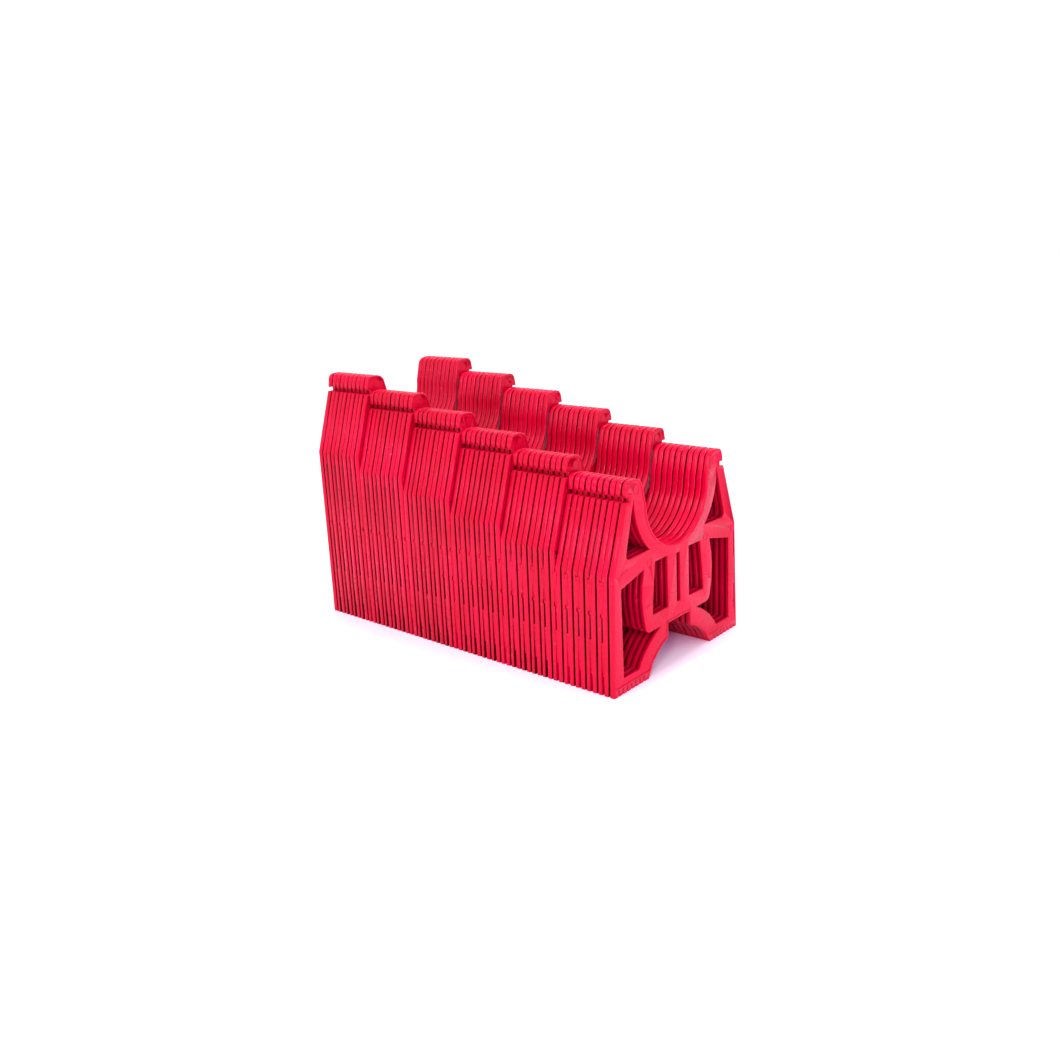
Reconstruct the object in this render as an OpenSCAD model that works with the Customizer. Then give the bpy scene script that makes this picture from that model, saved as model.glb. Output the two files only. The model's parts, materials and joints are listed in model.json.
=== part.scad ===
// Folding sewer-hose support: a row of thin moulded cradle panels, hinged to each other at
// alternate side edges like a bellows. The panels get shorter in six steps, so that a hose
// laid in their U-shaped tops runs downhill. X runs along the folded stack with the short end
// at +X, Y runs across it, and Z is up with the feet on Z = 0. Units are millimetres.

/* [Stack] */
// Height steps from the tall end to the short end
steps = 6; // [6:1:6]
// Panels in each height step
panels_per_step = 10; // [2:1:10]
// Room along the stack that one folded panel takes
pitch = 6; // [6:0.1:8]
// Height that each step adds
step_rise = 13; // [4:0.5:14]

/* [Panel] */
// Width across the feet
base_w = 190; // [186:1:194]
// Gap between the rims of two folded panels
panel_gap = 0.3; // [0.2:0.05:0.5]
// Extra gap at the edge where two panels aren't hinged, at the foot
free_edge_gap = 0.9; // [0:0.1:1.2]
// Width of the raised rim round the outline
rim_w = 2.2; // [1.6:0.1:2.6]
// Depth of the recess in the front face, inside the rim
front_recess = 0.6; // [0.3:0.1:1]
// Depth of the recess in the back face, inside the rim
back_recess = 1.9; // [0.5:0.1:2.2]

/* [Hose cradle] */
// Radius of the U that holds the hose
cradle_r = 44.5; // [40:0.5:45]
// Height of the U's centre on the shortest panel
cradle_z = 151; // [150:0.5:153]

/* [Hinge] */
// Distance of each hinge axis from the middle of the panel
hinge_y = 91.7; // [91.4:0.1:91.8]
// Radius of the moulded hinge pin
pin_r = 1; // [0.9:0.05:1.1]
// Radial clearance of the hook on the pin
pin_clearance = 0.05; // [0.02:0.01:0.08]
// Outer radius of the hook and of the lugs that hold the pin
knuckle_r = 2; // [1.9:0.1:2.1]
// Angle that two panels open to
opening_angle = 49; // [30:1:50]

/* [Hidden] */
$fn = 48;
panels = steps * panels_per_step;
panel_t = pitch - panel_gap;
stack_len = panels * pitch;
tall_z = 260;                 // above every panel
over = 1;                     // how far a cut runs past a face

// Outline of the shortest panel: half widths and heights
knee = [91.8, 101];
shoulder = [72.6, 158];
cap_top = 174.6;
cap_inner = [57.5, 9];        // half width of the arc's centre, and its radius
cap_outer = [64.5, 6];
hook_slot = [66.6, 158, 162];
arch_z = -25;                 // centre of the arch between the feet
arch_r = 54;
arch_band_r = 70.5;
notch = [16.5, 39.5];         // half width and top of the hand notch over the arch
foot_pad_z = 7;

// Scallops along the bottom of each foot
scallop_pitch = 5.8;
scallop_r = 1.1;
scallops = 7;

// Hinge stations: lower end, upper end, and how far past the axis the knuckles are cut flush
hinge_stations = [[16, 46, knuckle_r], [67, 97, 0.7 * pin_r]];
lug_len = 3;
end_play = 0.3;
turn_clearance = 0.15;
slit_w = 1.1;                 // the moulding slit beside each hook
relief_angle = opening_angle / 2 + 1;

function two_digits(n) = n < 10 ? str("0", n) : str(n);
function panel_name(n) = str("panel_", two_digits(n));

// How much taller panel n is than the shortest ones
function lift(n) = (steps - 1 - floor((n - 1) / panels_per_step)) * step_rise;
// Where the interface in front of panel n stands
function front_x(n) = n * pitch - stack_len / 2;
// The side that panel n and the next one are hinged at: 1 is +Y
function hinge_side(n) = n % 2 == 1 ? 1 : -1;

function arc(centre, r, from, to, parts) =
    [for (i = [0:parts]) centre + r * [cos(from + (to - from) * i / parts),
                                       sin(from + (to - from) * i / parts)]];
function mirrored(points) = [for (i = [len(points) - 1:-1:0]) [-points[i].x, points[i].y]];

// Half of the outer outline, drawn in by inset
function half_outline(up, inset) = concat(
    [[base_w / 2 - inset, inset], [knee.x - inset, knee.y + up],
     [shoulder.x - 1.1 * inset, shoulder.y + up - inset],
     [hook_slot.x - inset, hook_slot[1] + up - inset],
     [hook_slot.x - inset, hook_slot[2] + up + inset],
     [cap_outer[0] + cap_outer[1] + 1.2 - inset, hook_slot[2] + up + inset]],
    arc([cap_outer[0], cap_top + up - cap_outer[1]], cap_outer[1] - inset, 0, 90, 3),
    arc([cap_inner[0], cap_top + up - cap_inner[1]], cap_inner[1] - inset, 90, 180, 3),
    [[cradle_r + inset, cradle_z + up]]);

module outline(up, inset = 0) {
    right = half_outline(up, inset);
    difference() {
        polygon(concat(right, mirrored(right)));
        translate([0, cradle_z + up]) circle(cradle_r + inset);
        translate([0, arch_z]) circle(arch_r + inset);
        translate([-notch.x - inset, -over]) square([2 * (notch.x + inset), notch.y + inset + over]);
    }
}

// The tall window between the leg and the shield
module side_window(up) {
    top = 97 + up;
    bottom = 46;
    bulge = [for (i = [0:4]) [49.2 + 3.9 * sin(45 * i), top + (bottom - top) * i / 4]];
    corner = arc([43.2, bottom], 6, -30, -90, 2);
    difference() {
        polygon(concat([[80.6, 12.8], [80.9, 89.3 + up]], bulge, corner, [[27, 40], [27, 12.8]]));
        translate([0, arch_z]) circle(arch_band_r);
    }
}

// The long triangle inside the horn
module horn_window(up) {
    difference() {
        polygon([[36, 112 + up], [69.5, 111.2 + up], [72.3, 112.6 + up], [72.8, 115.6 + up], [61.4, 158 + up],
                 [50, 158 + up]]);
        translate([0, 157 + up]) circle(61);
    }
}

module shield_window(up) {
    polygon([[15.9, 54.2], [38.4, 53.8], [37.6, 66 + up / 4], [36.2, 80 + up / 2], [33.8, 99.2 + up],
             [15.9, 99.4 + up]]);
}

module windows(up) {
    for (side = [0, 1]) mirror([side, 0]) {
        side_window(up);
        horn_window(up);
        shield_window(up);
    }
    translate([-2.5, 54.3]) square([5, 43.7 + up]);
}

module scallop_cuts() {
    for (side = [-1, 1], i = [1:scallops])
        translate([side * (base_w / 2 - i * scallop_pitch), 0]) circle(scallop_r, $fn = 24);
}

// Stands a flat drawing up across the stack, from x on for thickness t
module standing(x, t) {
    translate([x, 0, 0]) rotate([90, 0, 90]) linear_extrude(t) children();
}

// The plate of panel n: a full-depth rim round a thinner web
module plate(n) {
    up = lift(n);
    back = front_x(n - 1) + panel_gap / 2;
    difference() {
        standing(back, panel_t) difference() {
            outline(up);
            windows(up);
            scallop_cuts();
        }
        for (recess = [[back - over, back_recess + over], [back + panel_t - front_recess, front_recess + over]])
            standing(recess[0], recess[1]) difference() {
                outline(up, rim_w);
                translate([-base_w / 2, 0]) square([base_w, foot_pad_z]);
            }
        free_edge_taper(back + panel_t, -hinge_side(n), -1);
        free_edge_taper(back, -hinge_side(n - 1), 1);
    }
}

// Thins a face towards the edge that isn't hinged. inward is the way into the panel along X
module free_edge_taper(x, side, inward) {
    reach = base_w / 2 + over;
    depth = free_edge_gap / 2 * reach / (base_w / 2);
    translate([x, 0, -over]) linear_extrude(tall_z)
        polygon([[0, 0], [-inward * over, 0], [-inward * over, side * reach], [inward * depth, side * reach]]);
}

// Cuts the corner outside a hinge axis away, so that the panel can turn
module turning_relief(x, side, inward) {
    reach = base_w / 2 + over - hinge_y;
    translate([x, side * hinge_y, -over]) linear_extrude(tall_z)
        polygon([[-inward * over, 0], [0, 0], [inward * reach * tan(relief_angle), side * reach],
                 [-inward * over, side * reach]]);
}

// A length of hinge knuckle, cut flush outside the axis
module knuckle(x, side, from, to, flush) {
    intersection() {
        translate([x, side * hinge_y, from]) cylinder(r = knuckle_r, h = to - from);
        translate([x - knuckle_r, side > 0 ? 0 : -hinge_y - flush, from])
            cube([2 * knuckle_r, hinge_y + flush, to - from]);
    }
}

// Room for the hooks of the panel behind, with a slit right through the plate
module hook_room(x, side) {
    room_r = knuckle_r + turn_clearance;
    slit_y = hinge_y - room_r;
    for (s = hinge_stations) translate([x, 0, s[0] + lug_len]) {
        h = s[1] - s[0] - 2 * lug_len;
        translate([0, side * hinge_y, 0]) cylinder(r = room_r, h = h);
        translate([-over, side > 0 ? slit_y - slit_w / 2 : -slit_y - slit_w / 2, 0])
            cube([pitch + 2 * over, slit_w, h]);
    }
}

// Room for the lugs of the panel in front
module lug_room(x, side) {
    for (s = hinge_stations, z = [s[0], s[1] - lug_len])
        translate([x, side * hinge_y, z - end_play])
            cylinder(r = knuckle_r + turn_clearance, h = lug_len + 2 * end_play);
}

// Two moulded pins, each held by a lug at both ends
module pins(x, side) {
    for (s = hinge_stations) {
        translate([x, side * hinge_y, s[0]]) cylinder(r = pin_r, h = s[1] - s[0]);
        for (z = [s[0], s[1] - lug_len]) knuckle(x, side, z, z + lug_len, s[2] + pin_clearance);
    }
}

// Two hooks that snap over the next panel's pins
module hooks(x, side) {
    for (s = hinge_stations)
        knuckle(x, side, s[0] + lug_len + end_play, s[1] - lug_len - end_play, s[2]);
}

module hook_bores(x, side) {
    for (s = hinge_stations)
        translate([x, side * hinge_y, s[0] + lug_len])
            cylinder(r = pin_r + pin_clearance, h = s[1] - s[0] - 2 * lug_len);
}

module panel(n) {
    front = front_x(n);
    back = front_x(n - 1);
    to_next = hinge_side(n);
    to_last = hinge_side(n - 1);
    color("crimson") union() {
        difference() {
            union() {
                difference() {
                    plate(n);
                    if (n < panels) turning_relief(front, to_next, -1);
                    if (n > 1) turning_relief(back, to_last, 1);
                    if (n > 1) hook_room(back, to_last);
                    if (n < panels) lug_room(front, to_next);
                }
                if (n < panels) hooks(front, to_next);
            }
            if (n < panels) hook_bores(front, to_next);
        }
        if (n > 1) pins(back, to_last);
    }
}

for (n = [1:panels]) panel(n);
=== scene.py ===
"""Folding sewer-hose support: red moulded cradle panels hinged edge to edge like a bellows.

Every panel starts as a merged copy of its CAD solid. It gets its ejector marks and foot grooves,
rounded moulded edges and a procedural red plastic with painted shade on the rims in the gaps, and rides on the body
that it stands for.
Lengths are in metres, in the frame's own axes: X along the stack, Y across it, Z up.
"""

import json
import math

import bmesh
import bpy
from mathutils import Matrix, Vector

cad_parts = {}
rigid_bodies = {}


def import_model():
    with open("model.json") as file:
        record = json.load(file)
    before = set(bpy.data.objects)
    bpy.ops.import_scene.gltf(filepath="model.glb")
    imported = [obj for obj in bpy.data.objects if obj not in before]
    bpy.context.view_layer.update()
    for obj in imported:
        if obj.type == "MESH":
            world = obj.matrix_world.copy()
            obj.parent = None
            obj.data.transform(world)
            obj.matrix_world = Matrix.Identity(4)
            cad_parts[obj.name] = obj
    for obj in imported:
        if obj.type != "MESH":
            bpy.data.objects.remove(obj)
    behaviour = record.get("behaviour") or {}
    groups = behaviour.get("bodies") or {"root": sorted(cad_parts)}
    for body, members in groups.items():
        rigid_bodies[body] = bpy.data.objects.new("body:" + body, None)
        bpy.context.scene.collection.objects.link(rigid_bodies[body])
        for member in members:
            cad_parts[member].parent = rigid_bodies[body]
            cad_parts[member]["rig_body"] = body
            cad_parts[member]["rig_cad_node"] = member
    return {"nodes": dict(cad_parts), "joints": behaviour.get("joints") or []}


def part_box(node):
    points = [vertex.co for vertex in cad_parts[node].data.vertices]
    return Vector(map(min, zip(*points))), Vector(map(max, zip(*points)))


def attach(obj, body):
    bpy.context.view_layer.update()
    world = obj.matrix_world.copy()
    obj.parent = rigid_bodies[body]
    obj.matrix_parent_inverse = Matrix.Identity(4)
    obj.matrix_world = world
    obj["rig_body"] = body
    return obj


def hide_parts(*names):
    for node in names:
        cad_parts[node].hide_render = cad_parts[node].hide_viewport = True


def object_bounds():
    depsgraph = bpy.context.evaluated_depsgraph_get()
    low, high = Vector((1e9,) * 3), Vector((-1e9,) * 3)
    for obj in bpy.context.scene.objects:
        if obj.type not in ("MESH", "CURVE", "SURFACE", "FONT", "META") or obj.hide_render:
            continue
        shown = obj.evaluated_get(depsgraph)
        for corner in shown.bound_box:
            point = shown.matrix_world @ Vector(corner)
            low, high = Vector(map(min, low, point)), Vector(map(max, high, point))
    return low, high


bl_info = {
    "name": "Folding hose support",
    "version": (1, 0, 0),
    "blender": (4, 5, 0),
    "location": "View3D > Sidebar > Hose support",
    "description": "Finishes the cradle panels of a folding sewer-hose support in red plastic",
    "category": "Object",
}

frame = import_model()
cad_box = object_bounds()

MM = 0.001
PANEL_NAMES = sorted(frame["nodes"])
PANEL_COUNT = len(PANEL_NAMES)
STEP_COUNT = 6
PANELS_PER_STEP = PANEL_COUNT // STEP_COUNT
HINGES = sorted(frame["joints"], key=lambda joint: joint["pos_m"][0])
PITCH = HINGES[1]["pos_m"][0] - HINGES[0]["pos_m"][0]
PANEL_GAP = 0.3 * MM
FOOT_HALF_WIDTH = (cad_box[1].y - cad_box[0].y) / 2
SHORTEST_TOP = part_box(PANEL_NAMES[-1])[1].z
# The hinge stations on every side edge, as (lowest, highest)
HINGE_STATIONS = ((16 * MM, 46 * MM), (67 * MM, 97 * MM))
SCALLOP_PITCH = 5.8 * MM
SCALLOPS = 7
# Ring marks in the front face, as (Y, Z, radius) in millimetres on the shortest panel
EJECTOR_MARKS = ((42, 100.6, 3.4), (57.8, 166, 4.2))
SMALL_MARKS = ((46.5, 64, 1.6), (84, 98.5, 1.8))
# A mark above this height goes up with the panel's top, in millimetres
RISING_Z = 90
# How deep, as (over, up to), the side faces beside each class of edge are
OUTER_EDGES = (3.8 * MM, 6 * MM)
WINDOW_EDGES = (2.5 * MM, 3.8 * MM)
RIM_EDGES = (0.5 * MM, 2.5 * MM)
GAP_SHADE = "gap_shade"
# Gaps that are only painted darker, with the full painted shade above the knee too, as if they hadn't closed up,
# numbered from 0 at the tall end
SHADE_PAINTED_GAPS = (14, 21, 30, 33, 35, 55)
# Just above the bend in the side edge of the shortest panel
KNEE_Z = 104 * MM
# How strong the painted shade on a rim is, and how squarely a face has to look along X before the painted shade
# starts
END_OF_STACK = (0, 0.9)
# No painted shade at the two ends of the stack, and only a little on the front rim of each step's last panel
END_OF_STEP = (0.12, 0.8)
LOW_GAP = (1, 0.35)
HIGH_GAP = (0.45, 0.75)
SQUARE = 0.95
# A face this close to the front or back plane is rim, foot pad or rounded edge, and not web
RIM_DEPTH = 0.55 * MM


# ---------------------------------------------------------------- settings


class PanelSettings(bpy.types.PropertyGroup):
    """Sizes of the moulded details on every panel."""

    edge_round: bpy.props.FloatProperty(
        name="Edge rounding", description="Radius of the outer edges", default=1.4 * MM, unit="LENGTH"
    )
    window_round: bpy.props.FloatProperty(
        name="Window rounding", description="Radius of the windows' edges", default=0.5 * MM, unit="LENGTH"
    )
    rim_round: bpy.props.FloatProperty(
        name="Rim rounding", description="Radius of the edges inside the raised rim", default=0.25 * MM, unit="LENGTH"
    )
    edge_segments: bpy.props.IntProperty(
        name="Edge segments", description="Faces across each rounded edge", default=3, min=1, max=6
    )
    mark_depth: bpy.props.FloatProperty(
        name="Mark depth", description="Depth of the ejector marks", default=0.25 * MM, unit="LENGTH"
    )
    groove_radius: bpy.props.FloatProperty(
        name="Groove radius", description="Radius of the short grooves on the feet", default=0.7 * MM, unit="LENGTH"
    )
    groove_height: bpy.props.FloatProperty(
        name="Groove height", description="Height of the grooves on the feet", default=5.5 * MM, unit="LENGTH"
    )


class PlasticSettings(bpy.types.PropertyGroup):
    """Colours and finish of the red plastic, and the colour of the painted shade on the rims in the gaps."""

    bright: bpy.props.FloatVectorProperty(
        name="Bright red", description="Colour of the plastic where it is clean", subtype="COLOR", size=3,
        default=(0.64, 0.001, 0.060),
    )
    deep: bpy.props.FloatVectorProperty(
        name="Deep red", description="Colour of the plastic where the melt flowed thick", subtype="COLOR", size=3,
        default=(0.50, 0.001, 0.032),
    )
    # Painted shade: the near-black red that the rims in the gaps between panels are darkened towards, in place of
    # their shadow
    gap: bpy.props.FloatVectorProperty(
        name="Gap", description="Colour of the rims in the gaps between panels", subtype="COLOR", size=3,
        default=(0.10, 0.0, 0.004),
    )
    scuff: bpy.props.FloatVectorProperty(
        name="Scuff", description="Colour of the fine scuffs", subtype="COLOR", size=3, default=(0.75, 0.07, 0.16)
    )


class StageSettings(bpy.types.PropertyGroup):
    """The floor, the lights and the camera."""

    floor_colour: bpy.props.FloatVectorProperty(
        name="Floor", description="Colour of the floor", subtype="COLOR", size=3, default=(0.98, 0.98, 0.98)
    )
    floor_size: bpy.props.FloatProperty(
        name="Floor size", description="Side of the floor", default=14, unit="LENGTH"
    )
    lens: bpy.props.FloatProperty(name="Lens", description="Focal length in millimetres", default=35.1)
    target: bpy.props.FloatVectorProperty(
        name="Camera target", description="Point in the middle of the view", size=3, subtype="TRANSLATION",
        default=(0.193, -0.199, 0.172),
    )
    azimuth: bpy.props.FloatProperty(
        name="Azimuth", description="Turn of the camera from straight in front of the long side",
        default=math.radians(42.3), subtype="ANGLE",
    )
    elevation: bpy.props.FloatProperty(
        name="Elevation", description="Height of the camera above the horizon", default=math.radians(16.7),
        subtype="ANGLE",
    )
    roll: bpy.props.FloatProperty(
        name="Roll", description="Turn of the picture about its middle", default=math.radians(-3.3), subtype="ANGLE"
    )
    distance: bpy.props.FloatProperty(
        name="Distance", description="From the camera to its target", default=0.7, unit="LENGTH"
    )


# ---------------------------------------------------------------- helpers


def deselect_all():
    for obj in bpy.context.selected_objects:
        obj.select_set(False)


def make_active(obj):
    deselect_all()
    obj.select_set(True)
    bpy.context.view_layer.objects.active = obj


def edit(obj, step):
    """Runs step(mesh) on obj's mesh in edit mode."""
    make_active(obj)
    bpy.ops.object.mode_set(mode="EDIT")
    bpy.ops.mesh.select_mode(type="EDGE")
    step(bmesh.from_edit_mesh(obj.data))
    bmesh.update_edit_mesh(obj.data)
    bpy.ops.object.mode_set(mode="OBJECT")


def duplicate(obj, name):
    make_active(obj)
    bpy.ops.object.duplicate()
    copy = bpy.context.active_object
    copy.name = name
    copy.data.name = name
    return copy


def place_in_mesh(obj):
    make_active(obj)
    bpy.ops.object.transform_apply(location=True, rotation=True, scale=True)


# ---------------------------------------------------------------- red plastic


def add_node(tree, kind, x, y, **inputs):
    node = tree.nodes.new(kind)
    node.location = (x, y)
    for name, value in inputs.items():
        node.inputs[name].default_value = value
    return node


def noise(tree, vector, x, y, scale, detail):
    node = add_node(tree, "ShaderNodeTexNoise", x, y, Scale=scale, Detail=detail)
    tree.links.new(vector, node.inputs["Vector"])
    return node


def ramp(tree, value, x, y, low, high):
    node = tree.nodes.new("ShaderNodeMapRange")
    node.location = (x, y)
    node.inputs["From Min"].default_value = low
    node.inputs["From Max"].default_value = high
    tree.links.new(value, node.inputs["Value"])
    return node


def mix_colour(tree, factor, first, second, x, y):
    node = tree.nodes.new("ShaderNodeMix")
    node.data_type = "RGBA"
    node.location = (x, y)
    tree.links.new(factor, node.inputs["Factor"])
    for socket, value in ((node.inputs["A"], first), (node.inputs["B"], second)):
        if isinstance(value, bpy.types.NodeSocket):
            tree.links.new(value, socket)
        else:
            socket.default_value = (*value, 1)
    return node.outputs["Result"]


def make_red_plastic(settings):
    material = bpy.data.materials.new("red_moulded_plastic")
    material.use_nodes = True
    tree = material.node_tree
    shader = tree.nodes["Principled BSDF"]
    place = add_node(tree, "ShaderNodeTexCoord", -1500, 0).outputs["Object"]

    # each panel comes out of the mould a touch different: one tone for each pitch along the stack
    split = add_node(tree, "ShaderNodeSeparateXYZ", -1300, 300)
    tree.links.new(place, split.inputs["Vector"])
    count = add_node(tree, "ShaderNodeMath", -1120, 300)
    count.operation = "DIVIDE"
    count.inputs[1].default_value = PITCH
    tree.links.new(split.outputs["X"], count.inputs[0])
    whole = add_node(tree, "ShaderNodeMath", -960, 300)
    whole.operation = "FLOOR"
    tree.links.new(count.outputs["Value"], whole.inputs[0])
    tone = add_node(tree, "ShaderNodeTexWhiteNoise", -800, 300)
    tone.noise_dimensions = "1D"
    tree.links.new(whole.outputs["Value"], tone.inputs["W"])

    flow = noise(tree, place, -1120, 60, 22, 3)
    mottle = noise(tree, place, -1120, -160, 240, 4)
    cloud = mix_colour(tree, ramp(tree, flow.outputs["Fac"], -900, 60, 0.3, 0.7).outputs["Result"],
                       settings.deep, settings.bright, -640, 60)
    panel_tone = mix_colour(tree, ramp(tree, tone.outputs["Value"], -640, 300, 0, 2.2).outputs["Result"],
                            cloud, settings.deep, -440, 180)
    scuffs = ramp(tree, mottle.outputs["Fac"], -900, -160, 0.66, 0.80)
    red = mix_colour(tree, scuffs.outputs["Result"], panel_tone, settings.scuff, -240, 120)
    # painted shade: the gap_shade attribute mixes the rims in the gaps towards the gap colour, in place of their
    # shadow
    gap = add_node(tree, "ShaderNodeAttribute", -440, -40)
    gap.attribute_name = GAP_SHADE
    shaded = mix_colour(tree, gap.outputs["Fac"], red, settings.gap, -60, 120)
    tree.links.new(shaded, shader.inputs["Base Color"])

    rough = ramp(tree, mottle.outputs["Fac"], -640, -160, 0.2, 0.9)
    rough.inputs["To Min"].default_value = 0.22
    rough.inputs["To Max"].default_value = 0.42
    tree.links.new(rough.outputs["Result"], shader.inputs["Roughness"])

    grain = noise(tree, place, -900, -420, 1700, 2)
    wave = noise(tree, place, -900, -600, 90, 2)
    fine = add_node(tree, "ShaderNodeBump", -440, -420, Strength=0.05, Distance=0.0002)
    tree.links.new(grain.outputs["Fac"], fine.inputs["Height"])
    broad = add_node(tree, "ShaderNodeBump", -220, -420, Strength=0.08, Distance=0.0012)
    tree.links.new(wave.outputs["Fac"], broad.inputs["Height"])
    tree.links.new(fine.outputs["Normal"], broad.inputs["Normal"])
    tree.links.new(broad.outputs["Normal"], shader.inputs["Normal"])

    shader.inputs["Specular IOR Level"].default_value = 0.1
    shader.inputs["Coat Weight"].default_value = 0.32
    shader.inputs["Coat Roughness"].default_value = 0.08
    return material


class SUPPORT_OT_red_plastic(bpy.types.Operator):
    """Makes the red moulded plastic"""

    bl_idname = "support.red_plastic"
    bl_label = "Red plastic"

    def execute(self, context):
        make_red_plastic(context.scene.support_plastic)
        return {"FINISHED"}


# ---------------------------------------------------------------- panels


def lift_of(name):
    """How much taller this panel is than the shortest one."""
    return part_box(name)[1].z - SHORTEST_TOP


def front_x(index):
    """Where the front face of a panel's rim stands."""
    return (index + 1 - PANEL_COUNT / 2) * PITCH - PANEL_GAP / 2


def back_x(index):
    return (index - PANEL_COUNT / 2) * PITCH + PANEL_GAP / 2


def copy_cad_panel(name):
    """A merged copy of the CAD solid, with its flat faces made whole."""
    piece = duplicate(frame["nodes"][name], "cradle_" + name)
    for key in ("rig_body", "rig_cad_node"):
        del piece[key]
    bpy.ops.object.parent_clear(type="CLEAR_KEEP_TRANSFORM")

    def merge(mesh):
        bpy.ops.mesh.select_all(action="SELECT")
        bpy.ops.mesh.remove_doubles(threshold=0.002 * MM)
        bpy.ops.mesh.dissolve_limited(angle_limit=math.radians(1))

    edit(piece, merge)
    return piece


def add_cylinder(radius, depth, at, axis, sides=24):
    turn = {"X": (0, math.pi / 2, 0), "Z": (0, 0, 0)}[axis]
    bpy.ops.mesh.primitive_cylinder_add(vertices=sides, radius=radius, depth=depth, location=at, rotation=turn)
    return bpy.context.active_object


def ring_cutter(radius, width, depth, at):
    """A tube that cuts a circular groove into a face that looks along X."""
    tube = add_cylinder(radius, 2 * depth, at, "X", 32)

    def hollow(mesh):
        ends = [face for face in mesh.faces if len(face.verts) > 4]
        for face in mesh.faces:
            face.select_set(face in ends)
        bpy.ops.mesh.inset(thickness=width)
        bpy.ops.mesh.bridge_edge_loops()

    edit(tube, hollow)
    return tube


def detail_cutters(index, settings):
    """Everything that is cut into one panel: ejector marks, small ring marks and foot grooves."""
    up = lift_of(PANEL_NAMES[index])
    face = front_x(index) - 0.6 * MM
    cutters = []
    for side in (-1, 1):
        for y, z, radius in EJECTOR_MARKS:
            at = (face, side * y * MM, z * MM + up)
            cutters.append(ring_cutter(radius * MM, 0.7 * MM, settings.mark_depth, at))
        for y, z, radius in SMALL_MARKS:
            at = (face, side * y * MM, z * MM + (up if z > RISING_Z else 0))
            cutters.append(ring_cutter(radius * MM, 0.5 * MM, settings.mark_depth, at))
        for number in range(1, SCALLOPS + 1):
            y = side * (FOOT_HALF_WIDTH - number * SCALLOP_PITCH)
            for x in (front_x(index), back_x(index)):
                groove = add_cylinder(settings.groove_radius, 2 * settings.groove_height, (x, y, 0), "Z", 12)
                cutters.append(groove)
    deselect_all()
    for cutter in cutters:
        cutter.select_set(True)
    bpy.context.view_layer.objects.active = cutters[0]
    bpy.ops.object.join()
    return bpy.context.active_object


def cut(piece, cutter):
    make_active(piece)
    knife = piece.modifiers.new("details", "BOOLEAN")
    knife.operation = "DIFFERENCE"
    knife.solver = "EXACT"
    knife.object = cutter
    bpy.ops.object.modifier_apply(modifier=knife.name)
    bpy.data.objects.remove(cutter)


def in_hinge_station(point):
    return abs(point.y) > 87 * MM and any(low - 1 * MM < point.z < high + 1 * MM for low, high in HINGE_STATIONS)


def depth_along_x(face):
    return max(vert.co.x for vert in face.verts) - min(vert.co.x for vert in face.verts)


def round_edges(piece, shallowest, deepest, radius, segments):
    """Rounds the edges between a flat front or back face and a side face of this depth.

    The small hinge and foot details stay crisp; the long edges that run past them don't.
    """

    def choose(mesh):
        for edge in mesh.edges:
            edge.select_set(False)
            if not (edge.is_manifold and edge.is_convex):
                continue
            flat, side = sorted(edge.link_faces, key=lambda face: -abs(face.normal.x))
            small = any(in_hinge_station(vert.co) or vert.co.z < 7.5 * MM for vert in edge.verts)
            if small and edge.calc_length() < 45 * MM:
                continue
            if abs(flat.normal.x) > 0.99 and abs(side.normal.x) < 0.5:
                edge.select_set(shallowest < depth_along_x(side) <= deepest)
        bpy.ops.mesh.bevel(offset=radius, segments=segments, profile=0.5, clamp_overlap=False)

    edit(piece, choose)


def shade_gaps(piece, index):
    """Colours the rims that meet in a gap darker, in place of the shadow there.

    The colour stays when the chain opens, so the webs are left red.
    """
    mesh = piece.data
    if GAP_SHADE not in mesh.attributes:
        mesh.attributes.new(GAP_SHADE, "FLOAT", "FACE")
    shade = mesh.attributes[GAP_SHADE].data
    middle = (front_x(index) + back_x(index)) / 2
    knee = KNEE_Z + lift_of(PANEL_NAMES[index])
    for face in mesh.polygons:
        ahead = face.center.x > middle
        gap = index if ahead else index - 1
        if gap in (-1, PANEL_COUNT - 1):
            strength, start = END_OF_STACK
        elif ahead and index % PANELS_PER_STEP == PANELS_PER_STEP - 1:
            strength, start = END_OF_STEP
        elif face.center.z < knee or gap in SHADE_PAINTED_GAPS:
            strength, start = LOW_GAP
        else:
            strength, start = HIGH_GAP
        rim = front_x(index) if ahead else back_x(index)
        if abs(face.center.x - rim) > RIM_DEPTH:
            strength = 0
        facing = (abs(face.normal.x) - start) / (SQUARE - start)
        shade[face.index].value = strength * max(0, min(1, facing))


def finish_panel(piece):
    make_active(piece)
    bpy.ops.object.shade_smooth_by_angle(angle=math.radians(32))
    piece.data.materials.clear()
    piece.data.materials.append(bpy.data.materials["red_moulded_plastic"])


def mould_panel(index, settings):
    piece = copy_cad_panel(PANEL_NAMES[index])
    cut(piece, detail_cutters(index, settings))
    round_edges(piece, *OUTER_EDGES, settings.edge_round, settings.edge_segments)
    round_edges(piece, *WINDOW_EDGES, settings.window_round, 2)
    round_edges(piece, *RIM_EDGES, settings.rim_round, 1)
    finish_panel(piece)
    return piece


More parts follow.
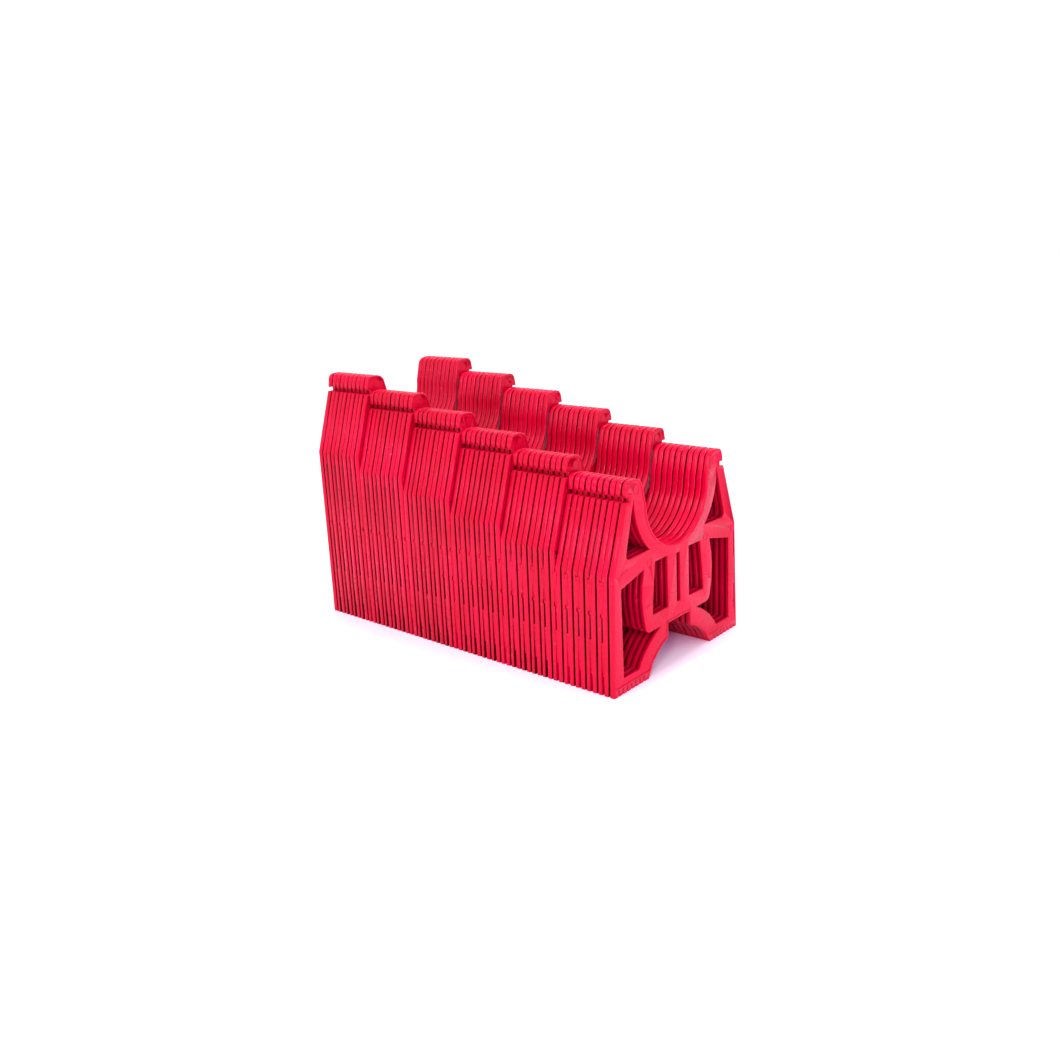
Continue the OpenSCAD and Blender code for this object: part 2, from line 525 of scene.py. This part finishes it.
class SUPPORT_OT_height_step(bpy.types.Operator):
    """Moulds the panels of one height step and sets them on their bodies"""

    bl_idname = "support.height_step"
    bl_label = "Height step"

    step: bpy.props.IntProperty(name="Step", description="Height step, 0 is the tallest", min=0, max=STEP_COUNT - 1)

    def execute(self, context):
        settings = context.scene.support_panel
        originals = {}
        for index in range(self.step * PANELS_PER_STEP, (self.step + 1) * PANELS_PER_STEP):
            name = PANEL_NAMES[index]
            ends = (index == 0, index == PANEL_COUNT - 1)
            kind = (index % 2, *ends)
            if kind in originals:
                first, original = originals[kind]
                piece = duplicate(original, "cradle_" + name)
                piece.location.x = (index - first) * PITCH
                place_in_mesh(piece)
            else:
                piece = mould_panel(index, settings)
                originals[kind] = (index, piece)
        for index in range(self.step * PANELS_PER_STEP, (self.step + 1) * PANELS_PER_STEP):
            name = PANEL_NAMES[index]
            piece = bpy.data.objects["cradle_" + name]
            shade_gaps(piece, index)
            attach(piece, name)
            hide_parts(name)
        return {"FINISHED"}


# ---------------------------------------------------------------- stage


def add_floor(settings):
    deselect_all()
    bpy.ops.mesh.primitive_plane_add(size=settings.floor_size, location=(0, 0, 0))
    floor = bpy.context.active_object
    floor.name = "studio_floor"
    material = bpy.data.materials.new("pale_floor")
    material.use_nodes = True
    shader = material.node_tree.nodes["Principled BSDF"]
    shader.inputs["Base Color"].default_value = (*settings.floor_colour, 1)
    shader.inputs["Roughness"].default_value = 0.75
    floor.data.materials.append(material)


def add_area_light(name, at, towards, size, power, colour=(1, 1, 1)):
    bpy.ops.object.light_add(type="AREA", location=at)
    lamp = bpy.context.active_object
    lamp.name = name
    lamp.data.shape = "RECTANGLE"
    lamp.data.size, lamp.data.size_y = size
    lamp.data.energy = power
    lamp.data.color = colour
    lamp.rotation_euler = (Vector(towards) - Vector(at)).to_track_quat("-Z", "Y").to_euler()


def add_lights():
    middle = (0, 0, 0.1)
    add_area_light("key_light", (-0.5, -1.6, 1.5), middle, (0.9, 0.9), 9)
    add_area_light("front_fill", (2.0, -0.7, 0.9), middle, (1.0, 1.0), 22, (0.6, 0.3, 1.0))
    add_area_light("top_strip", (0.1, 0.5, 1.6), middle, (0.05, 1.4), 14, (1.0, 0.8, 0.95))
    add_area_light("side_strip", (0.9, -1.3, 0.9), middle, (0.04, 1.2), 9)
    world = bpy.data.worlds.new("studio_white")
    world.use_nodes = True
    world.node_tree.nodes["Background"].inputs["Color"].default_value = (1, 1, 1, 1)
    world.node_tree.nodes["Background"].inputs["Strength"].default_value = 1.05
    bpy.context.scene.world = world


def add_camera(settings):
    towards_camera = Vector((
        math.sin(settings.azimuth) * math.cos(settings.elevation),
        -math.cos(settings.azimuth) * math.cos(settings.elevation),
        math.sin(settings.elevation),
    ))
    deselect_all()
    bpy.ops.object.camera_add(location=Vector(settings.target) + settings.distance * towards_camera)
    camera = bpy.context.active_object
    camera.name = "studio_camera"
    turn = (-towards_camera).to_track_quat("-Z", "Y")
    camera.rotation_euler = turn.to_euler()
    camera.rotation_euler.rotate_axis("Z", settings.roll)
    camera.data.lens = settings.lens
    camera.data.sensor_width = 36
    camera.data.clip_end = 50
    bpy.context.scene.camera = camera


class SUPPORT_OT_stage(bpy.types.Operator):
    """Sets the floor, the lights and the camera"""

    bl_idname = "support.stage"
    bl_label = "Stage"

    def execute(self, context):
        settings = context.scene.support_stage
        add_floor(settings)
        add_lights()
        add_camera(settings)
        context.scene.view_settings.view_transform = "Standard"
        context.scene.view_settings.gamma = 0.8
        return {"FINISHED"}


# ---------------------------------------------------------------- panel and registration


class SUPPORT_PT_panel(bpy.types.Panel):
    """Lists the steps that make the hose support"""

    bl_idname = "SUPPORT_PT_panel"
    bl_label = "Hose support"
    bl_space_type = "VIEW_3D"
    bl_region_type = "UI"
    bl_category = "Hose support"

    def draw(self, context):
        column = self.layout.column()
        column.operator("support.red_plastic")
        for step in range(STEP_COUNT):
            column.operator("support.height_step", text=f"Height step {step + 1}").step = step
        column.operator("support.stage")


CLASSES = (
    PanelSettings,
    PlasticSettings,
    StageSettings,
    SUPPORT_OT_red_plastic,
    SUPPORT_OT_height_step,
    SUPPORT_OT_stage,
    SUPPORT_PT_panel,
)


def register():
    for cls in CLASSES:
        bpy.utils.register_class(cls)
    bpy.types.Scene.support_panel = bpy.props.PointerProperty(type=PanelSettings)
    bpy.types.Scene.support_plastic = bpy.props.PointerProperty(type=PlasticSettings)
    bpy.types.Scene.support_stage = bpy.props.PointerProperty(type=StageSettings)


def unregister():
    del bpy.types.Scene.support_panel
    del bpy.types.Scene.support_plastic
    del bpy.types.Scene.support_stage
    for cls in reversed(CLASSES):
        bpy.utils.unregister_class(cls)


def main():
    register()
    bpy.ops.support.red_plastic()
    for step in range(STEP_COUNT):
        bpy.ops.support.height_step(step=step)
    bpy.ops.support.stage()


if __name__ == "__main__":
    main()
